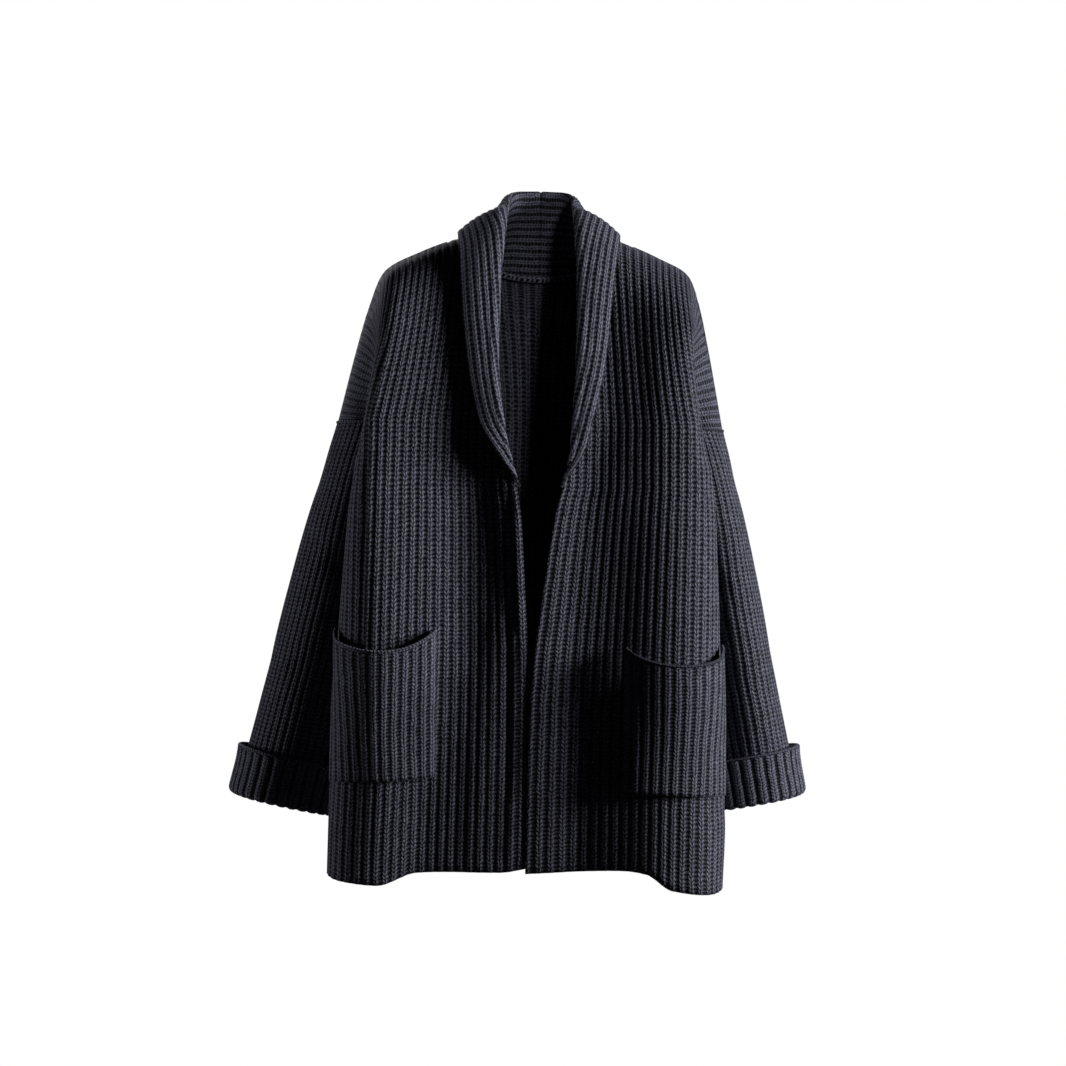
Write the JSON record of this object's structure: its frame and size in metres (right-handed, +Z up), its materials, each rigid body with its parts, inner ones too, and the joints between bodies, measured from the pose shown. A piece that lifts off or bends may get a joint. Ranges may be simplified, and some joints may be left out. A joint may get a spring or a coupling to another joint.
{
  "type": "shawl-collar cardigan",
  "caption": "Open-front rib-knit cardigan with a V-shaped neckline, wide shawl collar, dropped shoulders, patch pockets and turned-back cuffs, filled out as if worn.",
  "frame": {"origin": "at the neck, midway between the two high shoulder points, where the wearer's neck and shoulders hold the garment up", "axes": "+Z up, -Y out of the wearer's front, +X to the wearer's left"},
  "size_m": [0.6662, 0.2841, 0.7973],
  "materials": {
    "rib_knit": "matt chunky half-cardigan rib, soft wool-blend yarn with a faint fuzz",
    "collar_knit": "matt chunky half-cardigan rib, soft wool-blend yarn with a faint fuzz",
    "cuff_knit": "matt, the rib's reverse side turned out",
    "pocket_knit": "matt, a slightly finer rib of the same yarn"
  },
  "bodies": {
    "root": {"front_left": "rib_knit", "front_right": "rib_knit", "back": "rib_knit", "sleeve_left": "rib_knit", "sleeve_right": "rib_knit", "cuff_left": "cuff_knit", "cuff_right": "cuff_knit", "collar_left": "collar_knit", "collar_right": "collar_knit", "pocket_left": "pocket_knit", "pocket_right": "pocket_knit"}
  },
  "joints": []
}
